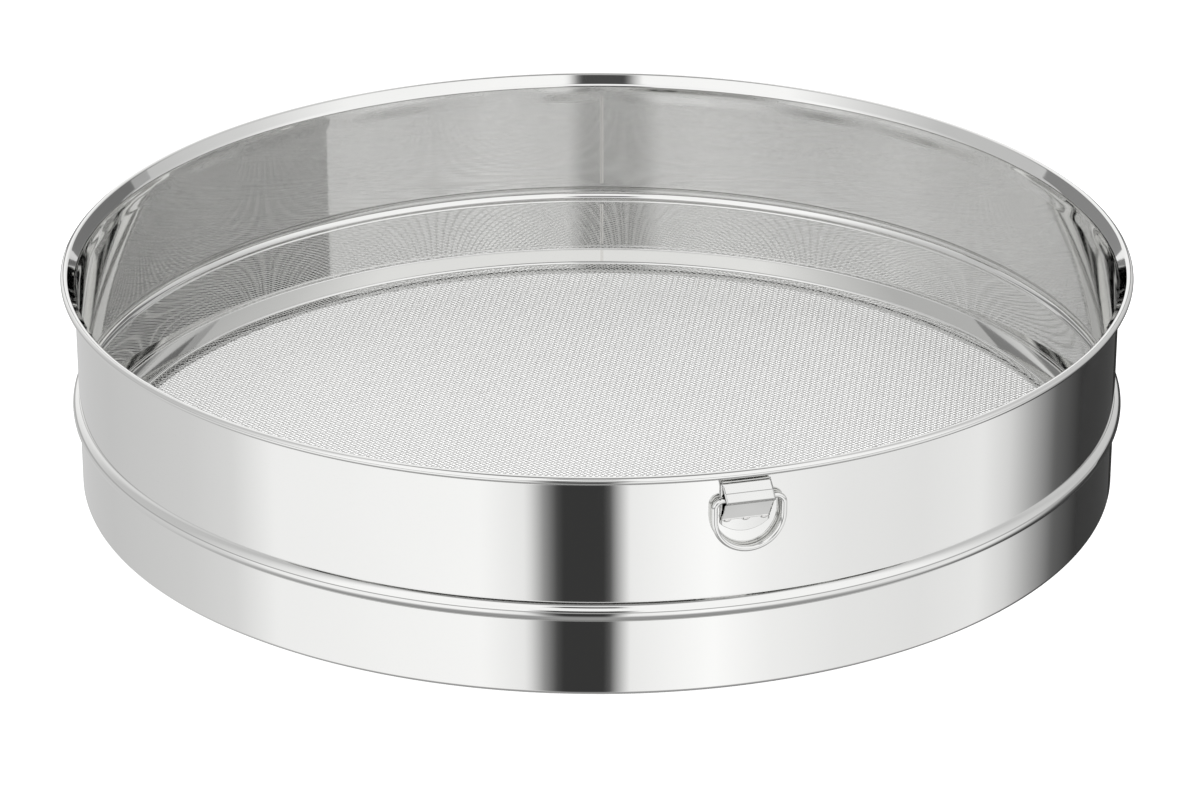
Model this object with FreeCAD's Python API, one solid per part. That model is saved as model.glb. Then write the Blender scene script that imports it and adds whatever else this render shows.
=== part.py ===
"""Soil sieve, 400 mm over the rim: a round stainless shell with a wired rim, a stiffening rib and
a folded base, a woven wire bottom clamped by a press ring, and a D-ring hanger under the rim.

Frame: origin at the middle of the base, on the surface the sieve stands on. +Z runs up the
sieve's axis, and the hanger is at the front, in the direction -Y. All sizes are in millimetres.
"""

import FreeCAD
import Part
import math
import os

Vector = FreeCAD.Vector

# ---- Driving dimensions ----
HEIGHT = 84.4  # base to the top of the rim
RIM_RADIUS = 200.0  # outside of the rolled rim
WALL_RADIUS = 195.0  # outside of the straight wall
SHELL_SHEET = 0.5  # stainless sheet of the shell

RIM_WIRE = 2.0  # hoop wire inside the rolled rim
RIM_WIRE_SLACK = 0.03  # radial room between the wire and the curl around it
RIM_CURL_TURN = 290.0  # degrees that the sheet goes round the wire
FLARE_ANGLE = 38.0  # lean of the wall below the curl, from upright
FLARE_BEND = 2.5

RIB_BOTTOM = 28.4
RIB_TOP = 36.0
RIB_DEPTH = 2.5  # how far the rib stands out of the wall
RIB_CROWN_SHARE = 0.6  # the crown's part of the rib's bend radii, the fillets have the rest

BASE_BEND = 1.5  # bend from the wall into the base fold
BASE_FOLD_HEIGHT = 1.5
BASE_FOLD_INNER_RADIUS = 185.2
BASE_FOLD_UPPER_EDGE = 190.5  # where the upper leaf of the fold ends, under the press ring

CLOTH_WIRE = 0.4
CLOTH_RADIUS = 190.0

PRESS_SHEET = 0.6
PRESS_INNER_RADIUS = 185.8
PRESS_HEM = 2.2  # upright part of the inner edge, standing on the cloth
PRESS_SLOPE = 12.0
PRESS_LIP_TOP = 8.7
PRESS_BEND = 0.8
PRESS_WALL_GAP = 0.02

SEAM_ANGLE = 15.8  # from +Y towards +X
SEAM_WIDTH = 1.4
SEAM_HEIGHT = 0.15

RING_WIRE = 2.2
RING_WIDTH = 26.8  # outside
RING_BAR_LENGTH = 18.4  # straight part, which turns in the strap
RING_DEPTH = 20.0  # middle of the bar to the outside of the bow
PIVOT_HEIGHT = 72.8

STRAP_SHEET = 0.6
STRAP_WIDTH = 17.4
STRAP_WALL_GAP = 0.02
STRAP_LEAF_GAP = 0.01
STRAP_RING_GAP = 0.05  # running clearance round the bar
STRAP_BACK_LEAF_END = 60.4
STRAP_BACK_LEAF_SAGITTA = 3.4  # depth of the rounded end of the back leaf
STRAP_FRONT_LEAF_END = 65.0
STRAP_FRONT_LEAN = 4.0
STRAP_CREASE = 6.0
STRAP_CREASE_HEIGHT = 3.0  # above the bar's axis
STRAP_CREASE_TO_FOLD = 2.4
PIVOT_RADIUS = WALL_RADIUS + STRAP_WALL_GAP + STRAP_SHEET + STRAP_RING_GAP + RING_WIRE / 2

SPOT_DIAMETER = 2.4
SPOT_SPACING = 6.8
SPOT_HEIGHT = 65.1  # at the end of the front leaf
SPOT_CROWN = 0.3


# ---- Formed sheet: a path of runs and bends, given a thickness ----
def direction(angle):
    return math.cos(math.radians(angle)), math.sin(math.radians(angle))


class FormedSheet:
    """The section of a bent sheet. It starts at a point of the sheet's middle line with a heading
    in degrees, counted from the +X side, and is added to by straight runs and by bends."""

    def __init__(self, start, heading, thickness):
        self.point = start
        self.heading = heading
        self.half = thickness / 2
        self.left = []
        self.right = []

    def _beside(self, point, heading, side):
        ahead = direction(heading)
        return point[0] - side * ahead[1], point[1] + side * ahead[0]

    def run(self, length):
        ahead = direction(self.heading)
        end = self.point[0] + length * ahead[0], self.point[1] + length * ahead[1]
        for edges, side in ((self.left, self.half), (self.right, -self.half)):
            edges.append((self._beside(self.point, self.heading, side), None,
                          self._beside(end, self.heading, side)))
        self.point = end

    def bend(self, radius, turn):
        """turn is positive to the left of the heading."""
        centre_side = math.copysign(radius, turn)
        centre = self._beside(self.point, self.heading, centre_side)

        def at(share):
            heading = self.heading + share * turn
            return self._beside(centre, heading, -centre_side), heading

        for edges, side in ((self.left, self.half), (self.right, -self.half)):
            start, middle, end = (self._beside(*at(share), side) for share in (0, 0.5, 1))
            edges.append((start, middle, end))
        self.point, self.heading = at(1)

    def run_and_bend(self, radius, turn, across=None, up=None):
        """Runs on as far as brings the end of the bend to the given place across or up."""
        probe = FormedSheet(self.point, self.heading, 2 * self.half)
        probe.bend(radius, turn)
        ahead = direction(self.heading)
        if across is not None:
            self.run((across - probe.point[0]) / ahead[0])
        else:
            self.run((up - probe.point[1]) / ahead[1])
        self.bend(radius, turn)

    def face(self, place):
        """The closed section. place turns a section point into a vector."""
        last_left, last_right = self.left[-1][2], self.right[-1][2]
        first_left, first_right = self.left[0][0], self.right[0][0]
        back = [(end, middle, start) for start, middle, end in reversed(self.right)]
        outline = [*self.left, (last_left, None, last_right), *back, (first_right, None, first_left)]
        edges = []
        for start, middle, end in outline:
            if middle is None:
                edges.append(Part.LineSegment(place(start), place(end)).toShape())
            else:
                edges.append(Part.Arc(place(start), place(middle), place(end)).toShape())
        return Part.Face(Part.Wire(Part.__sortEdges__(edges)))


def turned(face):
    """A section in the XZ plane, turned about the sieve's axis."""
    return face.revolve(Vector(0, 0, 0), Vector(0, 0, 1), 360)


def in_xz(point):
    return Vector(point[0], 0, point[1])


def hoop(radius, height, wire):
    return Part.makeTorus(radius, wire / 2, Vector(0, 0, height))


# ---- Shell: base fold, wall, rib, flare and rolled rim, all of one sheet ----
def shell():
    half = SHELL_SHEET / 2
    middle_radius = WALL_RADIUS - half
    fold_bend = (BASE_FOLD_HEIGHT - SHELL_SHEET) / 2

    sheet = FormedSheet((BASE_FOLD_UPPER_EDGE, BASE_FOLD_HEIGHT - half), 180, SHELL_SHEET)
    sheet.run(BASE_FOLD_UPPER_EDGE - BASE_FOLD_INNER_RADIUS - half - fold_bend)
    sheet.bend(fold_bend, 180)
    sheet.run_and_bend(BASE_BEND, 90, across=middle_radius)

    sheet.run(RIB_BOTTOM - sheet.point[1])
    rib_half_height = (RIB_TOP - RIB_BOTTOM) / 2
    rib_turn = 2 * math.degrees(math.atan(RIB_DEPTH / rib_half_height))
    rib_bends = rib_half_height / math.sin(math.radians(rib_turn))
    crown = RIB_CROWN_SHARE * rib_bends
    sheet.bend(rib_bends - crown, -rib_turn)
    sheet.bend(crown, 2 * rib_turn)
    sheet.bend(rib_bends - crown, -rib_turn)

    curl = (RIM_WIRE + SHELL_SHEET) / 2
    curl_centre = RIM_RADIUS - half - curl, HEIGHT - half - curl
    flare_end = curl_centre[0] - curl * math.cos(math.radians(FLARE_ANGLE))
    flare = FormedSheet(sheet.point, 90, SHELL_SHEET)
    flare.bend(FLARE_BEND, -FLARE_ANGLE)
    flare.run((flare_end - flare.point[0]) / direction(flare.heading)[0])
    flare_rise = flare.point[1] - sheet.point[1]
    curl_start = curl_centre[1] + curl * math.sin(math.radians(FLARE_ANGLE))
    sheet.run(curl_start - flare_rise - sheet.point[1])
    sheet.bend(FLARE_BEND, -FLARE_ANGLE)
    sheet.run_and_bend(curl, -90, across=flare_end + curl * math.cos(math.radians(FLARE_ANGLE))
                       + curl * math.sin(math.radians(FLARE_ANGLE)))
    sheet.bend(curl, 90 - RIM_CURL_TURN)
    return turned(sheet.face(in_xz))


def rim_wire():
    middle = SHELL_SHEET + RIM_WIRE / 2
    wire = RIM_WIRE / 2 - RIM_WIRE_SLACK
    return Part.makeTorus(RIM_RADIUS - middle, wire, Vector(0, 0, HEIGHT - middle))


def seam_weld():
    """The low bead of the shell's upright seam, inside, above and below the rib."""
    inner = WALL_RADIUS - SHELL_SHEET
    rod = (SEAM_WIDTH**2 / 4 + SEAM_HEIGHT**2) / (2 * SEAM_HEIGHT)
    angle = math.radians(SEAM_ANGLE)
    across = inner - SEAM_HEIGHT + rod
    beads = []
    for low, high in ((PRESS_LIP_TOP + 1, RIB_BOTTOM - 1), (RIB_TOP + 1, HEIGHT - 9)):
        foot = Vector(across * math.sin(angle), across * math.cos(angle), low)
        bead = Part.makeCylinder(rod, high - low, foot)
        beads.append(bead.common(Part.makeCylinder(inner, HEIGHT)))
    return Part.makeCompound([bead.Solids[0] for bead in beads])


# ---- Sieve bottom: woven cloth and the ring that presses it down ----
def wire_cloth():
    """The outer form of the woven cloth: two wires thick."""
    return Part.makeCylinder(CLOTH_RADIUS, 2 * CLOTH_WIRE, Vector(0, 0, BASE_FOLD_HEIGHT))


def press_ring():
    half = PRESS_SHEET / 2
    start = PRESS_INNER_RADIUS + half, BASE_FOLD_HEIGHT + 2 * CLOTH_WIRE
    sheet = FormedSheet(start, 90, PRESS_SHEET)
    sheet.run(PRESS_HEM)
    sheet.bend(PRESS_BEND, PRESS_SLOPE - 90)
    lip_radius = WALL_RADIUS - SHELL_SHEET - PRESS_WALL_GAP - half
    sheet.run_and_bend(PRESS_BEND, 90 - PRESS_SLOPE, across=lip_radius)
    sheet.run(PRESS_LIP_TOP - sheet.point[1])
    return turned(sheet.face(in_xz))


# ---- Hanger: folded strap, its spot welds and the D-ring ----
BACK_LEAF = WALL_RADIUS + STRAP_WALL_GAP + STRAP_SHEET / 2
FRONT_LEAF = BACK_LEAF + STRAP_SHEET + STRAP_LEAF_GAP


def spot_places():
    return [(x, SPOT_HEIGHT) for x in (-SPOT_SPACING, 0, SPOT_SPACING)]


def hanger_strap():
    """One strip: the front leaf's end, up and out round the bar, over, and down to the wall."""
    eye = (RING_WIRE + STRAP_SHEET) / 2 + STRAP_RING_GAP
    under_eye = PIVOT_RADIUS - FRONT_LEAF
    sheet = FormedSheet((FRONT_LEAF, STRAP_FRONT_LEAF_END), 90, STRAP_SHEET)
    sheet.run_and_bend(under_eye, -90, up=PIVOT_HEIGHT - eye)
    sheet.bend(eye, 90 + STRAP_FRONT_LEAN)
    sheet.run_and_bend(1.0, STRAP_CREASE, up=PIVOT_HEIGHT + STRAP_CREASE_HEIGHT)
    sheet.run(STRAP_CREASE_TO_FOLD)
    inward = math.sin(math.radians(sheet.heading))
    sheet.bend((sheet.point[0] - BACK_LEAF) / (1 + inward), 270 - sheet.heading)
    sheet.run(sheet.point[1] - STRAP_BACK_LEAF_END)

    left = -STRAP_WIDTH / 2
    strip = sheet.face(lambda point: Vector(left, -point[0], point[1]))
    strip = strip.extrude(Vector(STRAP_WIDTH, 0, 0))

    half_chord = STRAP_WIDTH / 2 + 0.01
    end_radius = (half_chord**2 + STRAP_BACK_LEAF_SAGITTA**2) / (2 * STRAP_BACK_LEAF_SAGITTA)
    axis_height = STRAP_BACK_LEAF_END + end_radius
    rounded = Part.makeCylinder(end_radius, 9, Vector(0, -WALL_RADIUS + 1, axis_height),
                                Vector(0, -1, 0))
    above = Part.makeBox(40, 9, 40, Vector(-20, -WALL_RADIUS - 8,
                                           STRAP_BACK_LEAF_END + STRAP_BACK_LEAF_SAGITTA))
    strip = strip.common(rounded.fuse(above))
    for x, height in spot_places():
        hole = Part.makeCylinder(SPOT_DIAMETER / 2, 9, Vector(x, -WALL_RADIUS + 1, height),
                                 Vector(0, -1, 0))
        strip = strip.cut(hole)
    return strip.Solids[0]


def spot_welds():
    """Each weld runs from the wall through both leaves and ends in a low crown."""
    top = FRONT_LEAF + STRAP_SHEET / 2 + SPOT_CROWN
    ball = (SPOT_DIAMETER**2 / 4 + SPOT_CROWN**2) / (2 * SPOT_CROWN)
    wall = Part.makeCylinder(WALL_RADIUS, HEIGHT)
    welds = []
    for x, height in spot_places():
        weld = Part.makeCylinder(SPOT_DIAMETER / 2, top - WALL_RADIUS + 1,
                                 Vector(x, -WALL_RADIUS + 1, height), Vector(0, -1, 0))
        crown = Part.makeSphere(ball, Vector(x, -top + ball, height))
        welds.append(weld.common(crown).cut(wall).Solids[0])
    return Part.makeCompound(welds)


def d_ring():
    wire = RING_WIRE / 2
    side = RING_WIDTH / 2 - wire
    corner = side - RING_BAR_LENGTH / 2
    bow_height = PIVOT_HEIGHT - RING_DEPTH + wire + side
    across = Vector(1, 0, 0)
    normal = Vector(0, 1, 0)
    half_bar = RING_BAR_LENGTH / 2
    depth = -PIVOT_RADIUS
    pieces = [Part.makeCylinder(wire, RING_BAR_LENGTH, Vector(-half_bar, depth, PIVOT_HEIGHT), across)]
    for sign in (-1, 1):
        foot = Vector(sign * side, depth, bow_height)
        pieces.append(Part.makeCylinder(wire, PIVOT_HEIGHT - corner - bow_height, foot))
        centre = Vector(sign * half_bar, depth, PIVOT_HEIGHT - corner)
        box = Part.makeBox(20, 20, 20, centre + Vector(0 if sign > 0 else -20, -10, 0))
        pieces.append(Part.makeTorus(corner, wire, centre, normal).common(box))
    bow_centre = Vector(0, depth, bow_height)
    box = Part.makeBox(80, 20, 40, bow_centre + Vector(-40, -10, -40))
    pieces.append(Part.makeTorus(side, wire, bow_centre, normal).common(box))
    ring = pieces[0].multiFuse(pieces[1:]).removeSplitter()
    return ring.Solids[0]


def build_parts():
    return {
        "shell": shell(),
        "rim_wire": rim_wire(),
        "seam_weld": seam_weld(),
        "wire_cloth": wire_cloth(),
        "press_ring": press_ring(),
        "hanger_strap": hanger_strap(),
        "spot_welds": spot_welds(),
        "d_ring": d_ring(),
    }


if __name__ == "__main__":
    os.makedirs("parts", exist_ok=True)
    for name, shape in build_parts().items():
        print(name, shape.isValid(), "solids", len(shape.Solids), "mm3", round(shape.Volume, 1))
        shape.exportStep(f"parts/{name}.step")
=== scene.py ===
"""Soil sieve, 400 mm over the rim: a polished stainless drum, a woven wire bottom and a D-ring."""

import math
import random

import bpy
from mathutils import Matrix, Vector


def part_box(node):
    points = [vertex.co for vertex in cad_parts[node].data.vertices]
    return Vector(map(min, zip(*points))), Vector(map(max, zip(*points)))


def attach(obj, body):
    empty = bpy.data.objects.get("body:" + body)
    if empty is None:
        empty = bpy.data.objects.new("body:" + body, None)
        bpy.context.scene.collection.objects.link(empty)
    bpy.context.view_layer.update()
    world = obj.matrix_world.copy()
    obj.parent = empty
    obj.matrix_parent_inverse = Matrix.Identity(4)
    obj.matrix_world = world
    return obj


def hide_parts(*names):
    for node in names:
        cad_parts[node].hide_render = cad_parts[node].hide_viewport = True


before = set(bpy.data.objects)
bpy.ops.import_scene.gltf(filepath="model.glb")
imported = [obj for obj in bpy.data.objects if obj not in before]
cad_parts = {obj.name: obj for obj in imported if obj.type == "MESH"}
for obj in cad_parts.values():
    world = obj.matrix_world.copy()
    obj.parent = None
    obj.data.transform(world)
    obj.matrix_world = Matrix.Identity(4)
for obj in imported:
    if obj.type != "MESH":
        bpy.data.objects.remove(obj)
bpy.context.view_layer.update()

# ---- Camera ----
# It looks down on the sieve from its front, a little to the left of the hanger, through a long
# lens from about one and three quarter metres away.
VIEW_TURN = math.radians(15.2)
VIEW_TILT = math.radians(23.47)
VIEW_DISTANCE = 1.7547
sieve_middle = Vector((0.0, 0.0, 0.04125))
towards_camera = Vector((
    -math.sin(VIEW_TURN) * math.cos(VIEW_TILT),
    -math.cos(VIEW_TURN) * math.cos(VIEW_TILT),
    math.sin(VIEW_TILT),
))
camera_data = bpy.data.cameras.new("camera")
camera_data.lens = 139.3
camera_data.sensor_width = 36.0
camera_data.clip_end = 50.0
camera_data.shift_x = 0.0022
camera_data.shift_y = -0.0339
camera = bpy.data.objects.new("camera", camera_data)
camera.location = sieve_middle + VIEW_DISTANCE * towards_camera
camera.rotation_euler = (-towards_camera).to_track_quat("-Z", "Y").to_euler()
scene = bpy.context.scene
scene.collection.objects.link(camera)
scene.camera = camera
scene.view_settings.view_transform = "Standard"
scene.view_settings.look = "None"

# ---- Room ----
# A bright white tent with a dark gap in front, a dark side at the right and a grey hole in its
# roof, over a grey table. The polished steel shows them as soft upright bands.
TENT_BANDS = (  # degrees round from the front, and how bright the tent is there
    (-180, 0.60), (-160, 0.64), (-135, 0.64), (-100, 0.74), (-86, 0.82), (-74, 1.06), (-55, 1.08),
    (-25, 1.14), (-15, 0.98), (-11, 0.30), (-8, 0.045), (2.5, 0.045), (7, 1.02), (25, 1.20),
    (38, 1.05), (55, 0.96), (75, 0.92), (92, 0.98), (101, 0.80), (110, 0.46), (120, 0.14),
    (132, 0.05), (165, 0.03), (178, 0.05),
)
UPPER_BANDS = (  # the same above the horizon
    (-180, 1.10), (-150, 1.00), (-120, 0.62), (-95, 0.64), (-75, 0.85), (-55, 1.15), (-14, 1.15),
    (-9, 0.08), (5, 0.08), (9, 1.15), (70, 1.10), (95, 0.80), (120, 0.64), (150, 0.70), (178, 1.10),
)
HIGH_TONE = 1.12
UNDER_TONE = 0.30
EDGE_TONE = 0.40
OVERHEAD_TONE = 0.28
CLEAR_OF_GAP = ((12, 0.0), (16, 1.0), (42, 1.0), (46, 0.0), (57, 0.0), (61, 1.0))  # by elevation
NEAR_FRONT = ((-40, 0.0), (-25, 1.0), (20, 1.0), (35, 0.0))  # by degrees round
EDGE_BAND = ((-15, 0.0), (-12, 1.0), (-5, 1.0), (-2, 0.0))
UNDER_BAND = ((-62, 1.0), (-40, 0.0))
OVERHEAD_BAND = ((66, 0.0), (72, 1.0))


def graph(tree):
    """Returns a maker of nodes and a joiner of sockets for one node tree."""
    def node(kind, **settings):
        made = tree.nodes.new(kind)
        for name, value in settings.items():
            setattr(made, name, value)
        return made

    def join(start, end):
        tree.links.new(start, end)

    return node, join


def math_step(node, join, operation, *values):
    made = node("ShaderNodeMath", operation=operation)
    for socket, value in zip(made.inputs, values):
        if isinstance(value, (int, float)):
            socket.default_value = value
        else:
            join(value, socket)
    return made.outputs[0]


def tone_ramp(node, join, source, stops):
    """A ramp of greys: each stop is a place from 0 to 1 and a brightness."""
    ramp = node("ShaderNodeValToRGB")
    elements = ramp.color_ramp.elements
    elements.remove(elements[1])
    elements[0].position = stops[0][0]
    for place, _ in stops[1:]:
        elements.new(place)
    for element, (_, tone) in zip(elements, stops):
        element.color = (tone, tone, tone, 1.0)
    join(source, ramp.inputs["Fac"])
    return ramp.outputs["Color"]


def blend(node, join, share, low, high):
    made = node("ShaderNodeMix", data_type="RGBA")
    for socket, value in zip((made.inputs[0], made.inputs[6], made.inputs[7]), (share, low, high)):
        if isinstance(value, tuple):
            socket.default_value = value
        else:
            join(value, socket)
    return made.outputs[2]


def elevation_stops(*stops):
    return [(0.5 + 0.5 * math.sin(math.radians(angle)), tone) for angle, tone in stops]


world = bpy.data.worlds.new("tent")
world.use_nodes = True
world.node_tree.nodes.clear()
node, join = graph(world.node_tree)
way = node("ShaderNodeTexCoord").outputs["Generated"]
from_front = node("ShaderNodeVectorRotate", rotation_type="Z_AXIS")
from_front.inputs["Angle"].default_value = VIEW_TURN
join(way, from_front.inputs["Vector"])
parts_of_way = node("ShaderNodeSeparateXYZ")
join(from_front.outputs[0], parts_of_way.inputs[0])
towards_front = math_step(node, join, "MULTIPLY", parts_of_way.outputs["Y"], -1.0)
turn = math_step(node, join, "ARCTAN2", parts_of_way.outputs["X"], towards_front)
turn = math_step(node, join, "MULTIPLY_ADD", turn, 1 / (2 * math.pi), 0.5)
height = math_step(node, join, "MULTIPLY_ADD", parts_of_way.outputs["Z"], 0.5, 0.5)
low_bands, high_bands = (
    tone_ramp(node, join, turn, [((angle + 180) / 360, tone / 1.2) for angle, tone in bands])
    for bands in (TENT_BANDS, UPPER_BANDS))
tones = blend(node, join, tone_ramp(node, join, height, elevation_stops((-8, 0.0), (2, 1.0))),
              low_bands, high_bands)
clear_share = tone_ramp(node, join, height, elevation_stops(*CLEAR_OF_GAP))
near_front = tone_ramp(node, join, turn, [((angle + 180) / 360, share)
                                          for angle, share in NEAR_FRONT])
tones = blend(node, join, math_step(node, join, "MULTIPLY", clear_share, near_front),
              tones, (HIGH_TONE / 1.2, HIGH_TONE / 1.2, HIGH_TONE / 1.2, 1.0))
for band, tone in ((EDGE_BAND, EDGE_TONE), (UNDER_BAND, UNDER_TONE),
                   (OVERHEAD_BAND, OVERHEAD_TONE)):
    tones = blend(node, join, tone_ramp(node, join, height, elevation_stops(*band)), tones,
                  (tone, tone, tone, 1.0))
tent = node("ShaderNodeBackground")
tent.inputs["Strength"].default_value = 1.2
join(tones, tent.inputs["Color"])
backdrop = node("ShaderNodeBackground")
backdrop.inputs["Color"].default_value = (1.0, 1.0, 1.0, 1.0)
seen = node("ShaderNodeMixShader")
join(node("ShaderNodeLightPath").outputs["Is Camera Ray"], seen.inputs[0])
join(tent.outputs[0], seen.inputs[1])
join(backdrop.outputs[0], seen.inputs[2])
join(seen.outputs[0], node("ShaderNodeOutputWorld").inputs["Surface"])
scene.world = world

# ---- Floor and dark cards ----
# The floor is plain white. Dark and grey cards stand close at the sieve's right and behind it on
# both sides; only the steel sees them.
DARK_CARDS = (  # near edge and far edge, across and along the view, bottom and top, then tone
    ((261.0, -10.0), (900.0, 2200.0), (-1500.0, 20.0), 0.012),
    ((374.0, 440.0), (385.0, 514.0), (20.0, 620.0), 0.40),
    ((385.0, 514.0), (560.0, 1634.0), (-100.0, 620.0), 0.15),
    ((-372.0, 440.0), (-560.0, 1634.0), (-100.0, 620.0), 0.24),
)


def flat_colour(name, colour, glow):
    material = bpy.data.materials.new(name)
    material.use_nodes = True
    paint = material.node_tree.nodes["Principled BSDF"]
    paint.inputs["Base Color"].default_value = (*colour, 1.0)
    paint.inputs["Roughness"].default_value = 0.9
    paint.inputs["Emission Color"].default_value = (1.0, 1.0, 1.0, 1.0)
    paint.inputs["Emission Strength"].default_value = glow
    return material


def stage_sheet(name, corners, material):
    mesh = bpy.data.meshes.new(name)
    mesh.from_pydata(corners, [], [(0, 1, 2, 3)])
    mesh.materials.append(material)
    sheet = bpy.data.objects.new(name, mesh)
    scene.collection.objects.link(sheet)
    return sheet


FLOOR_REACH = 6.0
FLOOR_HEIGHT = -0.0004
floor = stage_sheet("floor", [(x * FLOOR_REACH, y * FLOOR_REACH, FLOOR_HEIGHT)
                              for x, y in ((-1, -1), (1, -1), (1, 1), (-1, 1))],
                    flat_colour("white_floor", (0.9, 0.9, 0.9), 0.75))
floor.visible_glossy = False


def in_view_plan(across, along, z):
    """A point given across and along the view, in millimetres, in the sieve's own frame."""
    turn_cos, turn_sin = math.cos(VIEW_TURN), math.sin(VIEW_TURN)
    return Vector((across * turn_cos + along * turn_sin,
                   along * turn_cos - across * turn_sin, z)) / 1000


for index, (near, far, (bottom, top), tone) in enumerate(DARK_CARDS):
    card = stage_sheet(f"dark_card_{index + 1}", [
        in_view_plan(*near, bottom), in_view_plan(*far, bottom), in_view_plan(*far, top),
        in_view_plan(*near, top),
    ], flat_colour(f"card_paint_{index + 1}", (0.02, 0.02, 0.02), tone))
    card.visible_camera = False
    card.visible_diffuse = False
    card.visible_shadow = False

# ---- Shell ----
# One stainless sheet, half a millimetre thick, rolled into a drum and polished: the foot is folded
# in under the cloth, a rib is swaged round the wall, and the rim is flared and curled over a wire.
SHELL_HEIGHT = 84.4
SHELL_RIM = 200.0
SHELL_WALL = 195.0
SHELL_SHEET = 0.5
SHELL_FOLD = (190.5, 185.2, 1.5)  # where the fold ends, its inner radius and its height
SHELL_FOOT_BEND = 1.5
SHELL_RIB = (28.4, 60.0, 0.6, 0.53, 3.48)  # bottom, flank's lean, fillet, flank, crown
SHELL_CURL = 1.25
SHELL_FLARE = (38.0, 2.5)  # lean and bend
SHELL_STEEL = (0.80, 0.80, 0.79)
WAVE_SCALE = 17.0  # the slight waves that the rolling of the rim leaves inside, just below it
WAVE_HEIGHT = 0.0016
WAVE_FADES = ((0.0725, 0.0770), (0.0797, 0.0775))  # where they start and end, up the wall
WAVE_RADIUS = 0.19475  # only the inner face has them


class BentSheet:
    """The middle line of a bent sheet: points of radius and height with the heading in degrees."""

    def __init__(self, start, heading, thickness):
        self.half = thickness / 2
        self.points = [(*start, heading)]

    def run(self, length):
        r, z, heading = self.points[-1]
        ahead = math.radians(heading)
        self.points.append((r + length * math.cos(ahead), z + length * math.sin(ahead), heading))

    def bend(self, radius, turn, step=6.0):
        """turn is positive to the left of the heading."""
        r, z, heading = self.points[-1]
        side = math.copysign(radius, turn)
        centre_r = r - side * math.sin(math.radians(heading))
        centre_z = z + side * math.cos(math.radians(heading))
        steps = max(2, round(abs(turn) / step))
        for index in range(1, steps + 1):
            now = math.radians(heading + turn * index / steps)
            self.points.append((centre_r + side * math.sin(now), centre_z - side * math.cos(now),
                                heading + turn * index / steps))

    def outline(self):
        """The closed section as edges: start, end, and the normal at each. Its ends are rounded."""
        sides = []
        for sign in (1, -1):
            side = []
            for r, z, heading in self.points:
                ahead = math.radians(heading)
                out = (-sign * math.sin(ahead), sign * math.cos(ahead))
                side.append(((r + self.half * out[0], z + self.half * out[1]), out))
            sides.append(side)
        left, right = sides[0], sides[1][::-1]
        round_end = self._round(self.points[-1], left[-1][1])
        round_start = self._round(self.points[0], right[-1][1])
        round_trip = left + round_end + right + round_start
        return [(a[0], b[0], a[1], b[1]) for a, b in zip(round_trip, round_trip[1:] + left[:1])]

    def _round(self, point, first_normal):
        side = math.atan2(first_normal[1], first_normal[0])
        turned = []
        for step in range(1, 6):
            out = (math.cos(side - math.pi * step / 6), math.sin(side - math.pi * step / 6))
            turned.append(((point[0] + self.half * out[0], point[1] + self.half * out[1]), out))
        return turned


def sweep(name, edges, stations, closed):
    """A section carried past stations, each an origin and the way that its radius points. Its
    normals are set from the section, so that the polished faces reflect without facets."""
    count = len(edges)
    points, faces, normals = [], [], []
    for origin, way_out in stations:
        for (r, z), _, _, _ in edges:
            points.append((origin[0] + r * way_out[0] / 1000, origin[1] + r * way_out[1] / 1000,
                           z / 1000))
    pairs = [(index, index + 1) for index in range(len(stations) - 1)]
    if closed:
        pairs.append((len(stations) - 1, 0))
    for here, there in pairs:
        for index, (_, _, start_normal, end_normal) in enumerate(edges):
            after = (index + 1) % count
            faces.append((here * count + index, here * count + after,
                          there * count + after, there * count + index))
            for station, normal in ((here, start_normal), (here, end_normal),
                                    (there, end_normal), (there, start_normal)):
                way_out = stations[station][1]
                normals.append((normal[0] * way_out[0], normal[0] * way_out[1], normal[1]))
    if not closed:
        across = Vector((stations[-1][0][0] - stations[0][0][0], 0, 0)).normalized()
        last = (len(stations) - 1) * count
        faces.append(tuple(range(count)))
        normals += [tuple(-across)] * count
        faces.append(tuple(last + index for index in reversed(range(count))))
        normals += [tuple(across)] * count
    mesh = bpy.data.meshes.new(name)
    mesh.from_pydata(points, [], faces)
    mesh.polygons.foreach_set("use_smooth", [True] * len(mesh.polygons))
    mesh.update()
    mesh.normals_split_custom_set(normals)
    piece = bpy.data.objects.new(name, mesh)
    scene.collection.objects.link(piece)
    return piece


def round_stations(count):
    angles = [2 * math.pi * index / count for index in range(count)]
    return [((0.0, 0.0), (math.cos(angle), math.sin(angle))) for angle in angles]


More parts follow.
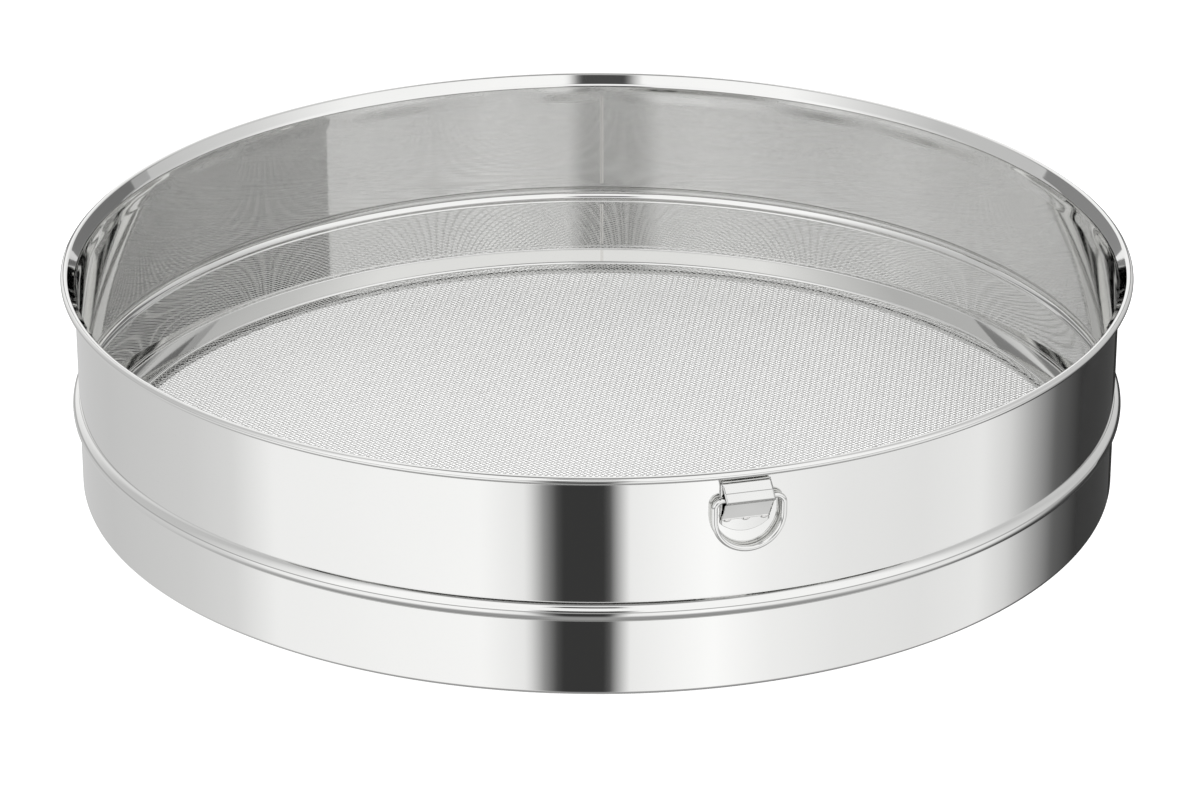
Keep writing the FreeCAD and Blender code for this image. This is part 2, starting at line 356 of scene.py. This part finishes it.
def polished_steel(name, colour, roughness, ripple_height, ripple_scale=9.0):
    """Mirror-finished sheet: faint buffing lines round the drum, and a slight ripple."""
    material = bpy.data.materials.new(name)
    material.use_nodes = True
    node, join = graph(material.node_tree)
    steel = material.node_tree.nodes["Principled BSDF"]
    steel.inputs["Metallic"].default_value = 1.0
    place = node("ShaderNodeTexCoord").outputs["Object"]
    split = node("ShaderNodeSeparateXYZ")
    join(place, split.inputs[0])
    turn = math_step(node, join, "ARCTAN2", split.outputs["X"], split.outputs["Y"])
    round_drum = node("ShaderNodeCombineXYZ")
    join(math_step(node, join, "MULTIPLY", turn, 0.6), round_drum.inputs["X"])
    join(math_step(node, join, "MULTIPLY", split.outputs["Z"], 60.0), round_drum.inputs["Y"])
    buffing = node("ShaderNodeTexNoise", noise_dimensions="3D")
    buffing.inputs["Scale"].default_value = 90.0
    buffing.inputs["Detail"].default_value = 4.0
    join(round_drum.outputs[0], buffing.inputs["Vector"])
    clouds = node("ShaderNodeTexNoise")
    clouds.inputs["Scale"].default_value = 22.0
    join(place, clouds.inputs["Vector"])
    mixed = math_step(node, join, "MULTIPLY_ADD", buffing.outputs["Fac"], 0.5,
                      math_step(node, join, "MULTIPLY", clouds.outputs["Fac"], 0.5))
    rough = node("ShaderNodeMapRange")
    rough.inputs["From Min"].default_value = 0.3
    rough.inputs["From Max"].default_value = 0.7
    rough.inputs["To Min"].default_value = roughness * 0.75
    rough.inputs["To Max"].default_value = roughness * 1.3
    join(mixed, rough.inputs["Value"])
    join(rough.outputs[0], steel.inputs["Roughness"])
    tint = blend(node, join, mixed, (*[0.97 * part for part in colour], 1.0),
                 (*[1.03 * part for part in colour], 1.0))
    join(tint, steel.inputs["Base Color"])
    ripple = node("ShaderNodeTexNoise")
    ripple.inputs["Scale"].default_value = ripple_scale
    ripple.inputs["Detail"].default_value = 1.0
    join(place, ripple.inputs["Vector"])
    bump = node("ShaderNodeBump")
    bump.inputs["Strength"].default_value = 1.0
    bump.inputs["Distance"].default_value = ripple_height
    join(ripple.outputs["Fac"], bump.inputs["Height"])
    join(bump.outputs[0], steel.inputs["Normal"])
    return material


def stand_in(piece, cad_node, material):
    piece.data.materials.append(material)
    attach(piece, "ring" if cad_node == "d_ring" else "sieve")
    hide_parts(cad_node)


half = SHELL_SHEET / 2
fold_end, fold_inner, fold_height = SHELL_FOLD
fold_bend = (fold_height - SHELL_SHEET) / 2
drum = BentSheet((fold_end, fold_height - half), 180, SHELL_SHEET)
drum.run(fold_end - fold_inner - half - fold_bend)
drum.bend(fold_bend, 180, 15)
drum.run(SHELL_WALL - half - SHELL_FOOT_BEND - drum.points[-1][0])
drum.bend(SHELL_FOOT_BEND, 90, 5)
rib_bottom, rib_lean, rib_fillet, rib_flank, rib_crown = SHELL_RIB
drum.run(rib_bottom - drum.points[-1][1])
drum.bend(rib_fillet, -rib_lean, 4)
drum.run(rib_flank)
drum.bend(rib_crown, 2 * rib_lean, 3)
drum.run(rib_flank)
drum.bend(rib_fillet, -rib_lean, 4)
flare_lean, flare_bend = SHELL_FLARE
lean_cos, lean_sin = math.cos(math.radians(flare_lean)), math.sin(math.radians(flare_lean))
flare_run = (SHELL_RIM - half - SHELL_CURL - SHELL_CURL * lean_cos - (SHELL_WALL - half)
             - flare_bend * (1 - lean_cos)) / lean_sin
flare_rise = flare_bend * lean_sin + flare_run * lean_cos
drum.run(SHELL_HEIGHT - half - SHELL_CURL + SHELL_CURL * lean_sin - flare_rise - drum.points[-1][1])
drum.bend(flare_bend, -flare_lean, 3)
drum.run(flare_run)
drum.bend(SHELL_CURL, flare_lean - 290, 5)
shell = sweep("shell_drum", drum.outline(), round_stations(480), True)
shell_steel = polished_steel("shell_steel", SHELL_STEEL, 0.042, 0.0002)
node, join = graph(shell_steel.node_tree)
place = node("ShaderNodeSeparateXYZ")
join(node("ShaderNodeTexCoord").outputs["Object"], place.inputs[0])
round_rim = node("ShaderNodeCombineXYZ")
join(place.outputs["X"], round_rim.inputs["X"])
join(place.outputs["Y"], round_rim.inputs["Y"])
rolling_waves = node("ShaderNodeTexNoise")
rolling_waves.inputs["Scale"].default_value = WAVE_SCALE
rolling_waves.inputs["Detail"].default_value = 1.5
join(round_rim.outputs[0], rolling_waves.inputs["Vector"])
waves = math_step(node, join, "SUBTRACT", rolling_waves.outputs["Fac"], 0.5)
for below, above in WAVE_FADES:
    fade = node("ShaderNodeMapRange", interpolation_type="SMOOTHSTEP")
    fade.inputs["From Min"].default_value = below
    fade.inputs["From Max"].default_value = above
    join(place.outputs["Z"], fade.inputs["Value"])
    waves = math_step(node, join, "MULTIPLY", waves, fade.outputs[0])
from_axis = node("ShaderNodeVectorMath", operation="LENGTH")
join(round_rim.outputs[0], from_axis.inputs[0])
inside = math_step(node, join, "LESS_THAN", from_axis.outputs["Value"], WAVE_RADIUS)
wavy = node("ShaderNodeBump")
wavy.inputs["Distance"].default_value = WAVE_HEIGHT
join(math_step(node, join, "MULTIPLY", waves, inside), wavy.inputs["Height"])
first_bump = next(step for step in shell_steel.node_tree.nodes
                  if step.bl_idname == "ShaderNodeBump" and step != wavy)
join(wavy.outputs[0], first_bump.inputs["Normal"])
stand_in(shell, "shell", shell_steel)

# ---- Rim wire ----
# A drawn stainless hoop inside the curl. It can be seen only where the curl's edge stops short.
def finish_node(name, material):
    cad_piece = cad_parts[name]
    for cad_slot in cad_piece.material_slots:
        cad_slot.material = material


finish_node("rim_wire", polished_steel("wire_steel", (0.6, 0.6, 0.59), 0.3, 0.0))

# ---- Seam weld ----
# The ground-down bead of the drum's upright butt seam, inside at the back, dressed almost flush.
finish_node("seam_weld", polished_steel("seam_steel", (0.74, 0.73, 0.71), 0.12, 0.0002))

# ---- Press ring ----
# A bright formed ring of thicker sheet, pushed into the drum. Its upright inner edge stands on the
# cloth and clamps it, and its lip lies against the wall.
PRESS_SHEET = 0.6
PRESS_INNER = 185.8
PRESS_FOOT = 2.3
PRESS_HEM = 1.6
PRESS_BEND = 0.9
PRESS_SLOPE = 20.0
PRESS_LIP = (194.15, 8.8)  # middle radius and top
slope = math.radians(PRESS_SLOPE)
press = BentSheet((PRESS_INNER + PRESS_SHEET / 2, PRESS_FOOT), 90, PRESS_SHEET)
press.run(PRESS_HEM)
press.bend(PRESS_BEND, PRESS_SLOPE - 90, 4)
lip_bend_start = PRESS_LIP[0] - PRESS_BEND * (1 - math.sin(slope))
press.run((lip_bend_start - press.points[-1][0]) / math.cos(slope))
press.bend(PRESS_BEND, 90 - PRESS_SLOPE, 4)
press.run(PRESS_LIP[1] - press.points[-1][1])
stand_in(sweep("press_ring_sheet", press.outline(), round_stations(480), True), "press_ring",
         polished_steel("press_steel", (0.80, 0.80, 0.79), 0.05, 0.0003))

# ---- Wire cloth ----
# Plain-woven cloth of bright stainless wire: 0.4 mm wires, sixteen to the inch, each going over
# and under the ones it crosses. It lies slanted to the hanger, as it was cut.
WIRE = 0.0004
PITCH = 0.0254 / 16
WARP_CRIMP = 0.00014  # both are shallower than in real cloth, so the wires sink into each
WEFT_CRIMP = 0.00010  # other a little where they cross
WIRE_DRIFT = 0.00002
WEAVE_TURN = math.radians(23.0)
CLOTH_RADIUS = 0.1895
cloth_low, cloth_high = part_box("wire_cloth")
cloth_middle = (cloth_low[2] + cloth_high[2]) / 2


def woven_wires(name, turned, first, last, seed):
    """A band of parallel wires, from one offset to another, crimped over and under."""
    chance = random.Random(seed)
    along = Vector((math.cos(WEAVE_TURN + turned), math.sin(WEAVE_TURN + turned), 0.0))
    beside = Vector((-along.y, along.x, 0.0))
    points, faces = [], []
    for index in range(first, last):
        offset = index * PITCH
        reach = math.sqrt(max(CLOTH_RADIUS**2 - offset**2, 0.0))
        steps = int(reach / PITCH)
        if steps < 1:
            continue
        drift = [chance.uniform(-WIRE_DRIFT, WIRE_DRIFT) for _ in range(2 * steps + 1)]
        start = len(points)
        for step in range(-steps, steps + 1):
            over = 1 if (step + index) % 2 == (0 if turned else 1) else -1
            side = offset + drift[step + steps]
            middle = along * (step * PITCH) + beside * side
            height = cloth_middle + over * (WEFT_CRIMP if turned else WARP_CRIMP)
            for across, up in ((0.5, 0.0), (0.0, 0.5), (-0.5, 0.0), (0.0, -0.5)):
                points.append((middle.x + beside.x * across * WIRE,
                               middle.y + beside.y * across * WIRE, height + up * WIRE))
            if step > -steps:
                ring = start + 4 * (step + steps)
                for corner in range(4):
                    after = (corner + 1) % 4
                    faces.append((ring - 4 + corner, ring + corner, ring + after, ring - 4 + after))
    mesh = bpy.data.meshes.new(name)
    mesh.from_pydata(points, [], faces)
    mesh.polygons.foreach_set("use_smooth", [True] * len(mesh.polygons))
    mesh.update()
    piece = bpy.data.objects.new(name, mesh)
    scene.collection.objects.link(piece)
    return piece


cloth_steel = polished_steel("cloth_steel", (0.81, 0.81, 0.80), 0.27, 0.0)
half_count = int(CLOTH_RADIUS / PITCH)
for name, turned, first, last, seed in (
    ("warp_wires_left", 0.0, -half_count, 0, 1),
    ("warp_wires_right", 0.0, 0, half_count + 1, 2),
    ("weft_wires_front", math.pi / 2, -half_count, 0, 3),
    ("weft_wires_back", math.pi / 2, 0, half_count + 1, 4),
):
    stand_in(woven_wires(name, turned, first, last, seed), "wire_cloth", cloth_steel)

# ---- Hanger strap ----
# A bright strip folded over the ring's bar and flattened against the wall: its back leaf runs down
# the wall to a rounded end, and its front leaf stops above that.
STRAP_SHEET = 0.6
STRAP_WIDTH = 17.4
STRAP_BACK_LEAF = 195.32
STRAP_FRONT_LEAF = 195.93
STRAP_FRONT_END = 65.0
STRAP_FRONT_SLOPE = 12.0
STRAP_FRONT_BEND = 2.0
STRAP_FRONT_RUN = 5.35
STRAP_KNEE_BEND = 0.8
STRAP_KNEE_HEADING = 60
STRAP_LOWER_FACE = 2.6
STRAP_BACK_END = 60.4
STRAP_END_ROUNDING = 3.4
STRAP_EYE = (196.77, 72.8, 1.45)  # the bar's axis, and the bend round it
STRAP_LEAN = 2.0
STRAP_CREASE = 12.0
STRAP_CREASE_BEND = 2.8
STRAP_UPPER_FACE = 2.4
STRAP_SHIFT = (-1.2, 1.5)  # sideways: the whole strip, and its front beyond that
STRAP_FRONT_FROM = (196.3, 1.4)  # radius at which the front starts, and over how much
STRAP_SKEW = (0.22, 71.5)  # sideways for each millimetre up, and from what height
eye_r, eye_z, eye_bend = STRAP_EYE
strap = BentSheet((STRAP_FRONT_LEAF, STRAP_FRONT_END + 0.3), 90, STRAP_SHEET)
strap.bend(STRAP_FRONT_BEND, -STRAP_FRONT_SLOPE)
strap.run(STRAP_FRONT_RUN)
strap.bend(STRAP_KNEE_BEND, STRAP_FRONT_SLOPE - STRAP_KNEE_HEADING)
strap.bend(eye_bend, STRAP_KNEE_HEADING + STRAP_LEAN)
strap.run(STRAP_LOWER_FACE)
strap.bend(STRAP_CREASE_BEND, STRAP_CREASE, 2)
strap.run(STRAP_UPPER_FACE)
upper_r, _, upper_heading = strap.points[-1]
top_fold = (upper_r - STRAP_BACK_LEAF) / (1 + math.sin(math.radians(upper_heading)))
strap.bend(top_fold, 270 - upper_heading)
strap.run(strap.points[-1][1] - STRAP_BACK_END)
across = [(-0.5 + index / 24) * STRAP_WIDTH / 1000 for index in range(25)]
strap_stations = [((x, 0.0), (0.0, -1.0)) for x in across]
strap_piece = sweep("strap_strip", strap.outline(), strap_stations, False)
half_chord = STRAP_WIDTH / 2
end_radius = (half_chord**2 + STRAP_END_ROUNDING**2) / (2 * STRAP_END_ROUNDING)
for vertex in strap_piece.data.vertices:
    x, r, z = 1000 * vertex.co.x, -1000 * vertex.co.y, 1000 * vertex.co.z
    if z < STRAP_BACK_END + 0.4:
        z += end_radius - math.sqrt(end_radius**2 - x**2)
    front = min(1.0, max(0.0, (r - STRAP_FRONT_FROM[0]) / STRAP_FRONT_FROM[1]))
    x += STRAP_SHIFT[0] + front * (STRAP_SHIFT[1] - STRAP_SKEW[0] * max(0.0, z - STRAP_SKEW[1]))
    vertex.co = (x / 1000, -r / 1000, z / 1000)
stand_in(strap_piece, "hanger_strap",
         polished_steel("strap_steel", (0.76, 0.76, 0.75), 0.08, 0.0002, 60.0))

# ---- Spot welds ----
# Three small mounds of weld metal at the end of the front leaf, which hold both leaves of the
# strap to the wall.
SPOT_OFFSETS = (-7.6, -1.0, 5.5)
SPOT_HALF_SIZE = (1.5, 0.5, 0.8)
spot_points, spot_faces = [], []
for offset in SPOT_OFFSETS:
    start = len(spot_points)
    for level in range(9):
        rise = math.pi * (level / 8 - 0.5)
        for step in range(20):
            side = 2 * math.pi * step / 20
            spot_points.append((
                (offset + SPOT_HALF_SIZE[0] * math.cos(rise) * math.cos(side)) / 1000,
                -(STRAP_FRONT_LEAF + SPOT_HALF_SIZE[1] * math.cos(rise) * math.sin(side)) / 1000,
                (STRAP_FRONT_END + SPOT_HALF_SIZE[2] * math.sin(rise)) / 1000,
            ))
            if level:
                here, after = start + 20 * level + step, start + 20 * level + (step + 1) % 20
                spot_faces.append((here - 20, here, after, after - 20))
spot_mesh = bpy.data.meshes.new("weld_mounds")
spot_mesh.from_pydata(spot_points, [], spot_faces)
spot_mesh.polygons.foreach_set("use_smooth", [True] * len(spot_mesh.polygons))
spots = bpy.data.objects.new("weld_mounds", spot_mesh)
scene.collection.objects.link(spots)
stand_in(spots, "spot_welds",
         polished_steel("spot_steel", (0.78, 0.77, 0.76), 0.15, 0.0002))

# ---- D-ring ----
# Polished round wire bent to a D. Its straight side turns in the strap, and it hangs flat on the
# wall.
RING_WIRE = 2.2
RING_SIDE = 12.3
RING_BAR = 18.4
RING_DEPTH = 20.0


def bent_wire(name, middle_line, wire, sides):
    """Round wire along a closed flat line of points across and up, in millimetres."""
    points, faces = [], []
    count = len(middle_line)
    for index, (x, z) in enumerate(middle_line):
        before, after = middle_line[index - 1], middle_line[(index + 1) % count]
        ahead = Vector((after[0] - before[0], after[1] - before[1])).normalized()
        for side in range(sides):
            angle = 2 * math.pi * side / sides
            out = wire / 2 * math.cos(angle)
            points.append(((x - out * ahead.y) / 1000, -(eye_r + wire / 2 * math.sin(angle)) / 1000,
                           (z + out * ahead.x) / 1000))
    for index in range(count):
        here, there = index * sides, (index + 1) % count * sides
        for side in range(sides):
            after = (side + 1) % sides
            faces.append((here + side, here + after, there + after, there + side))
    mesh = bpy.data.meshes.new(name)
    mesh.from_pydata(points, [], faces)
    mesh.polygons.foreach_set("use_smooth", [True] * len(mesh.polygons))
    mesh.update()
    piece = bpy.data.objects.new(name, mesh)
    scene.collection.objects.link(piece)
    return piece


corner = RING_SIDE - RING_BAR / 2
bow_z = eye_z - RING_DEPTH + RING_WIRE / 2 + RING_SIDE
ring_line = [(RING_BAR * (0.5 - index / 16), eye_z) for index in range(1, 16)]
ring_line += [(-RING_BAR / 2 - corner * math.sin(a), eye_z - corner + corner * math.cos(a))
              for a in (math.radians(step * 7.5) for step in range(13))]
ring_line += [(-RING_SIDE * math.cos(a), bow_z - RING_SIDE * math.sin(a))
              for a in (math.radians(step * 3) for step in range(61))]
ring_line += [(RING_BAR / 2 + corner * math.cos(a), eye_z - corner + corner * math.sin(a))
              for a in (math.radians(step * 7.5) for step in range(13))]
stand_in(bent_wire("ring_bow", ring_line, RING_WIRE, 24), "d_ring",
         polished_steel("ring_steel", (0.78, 0.78, 0.77), 0.05, 0.0001))
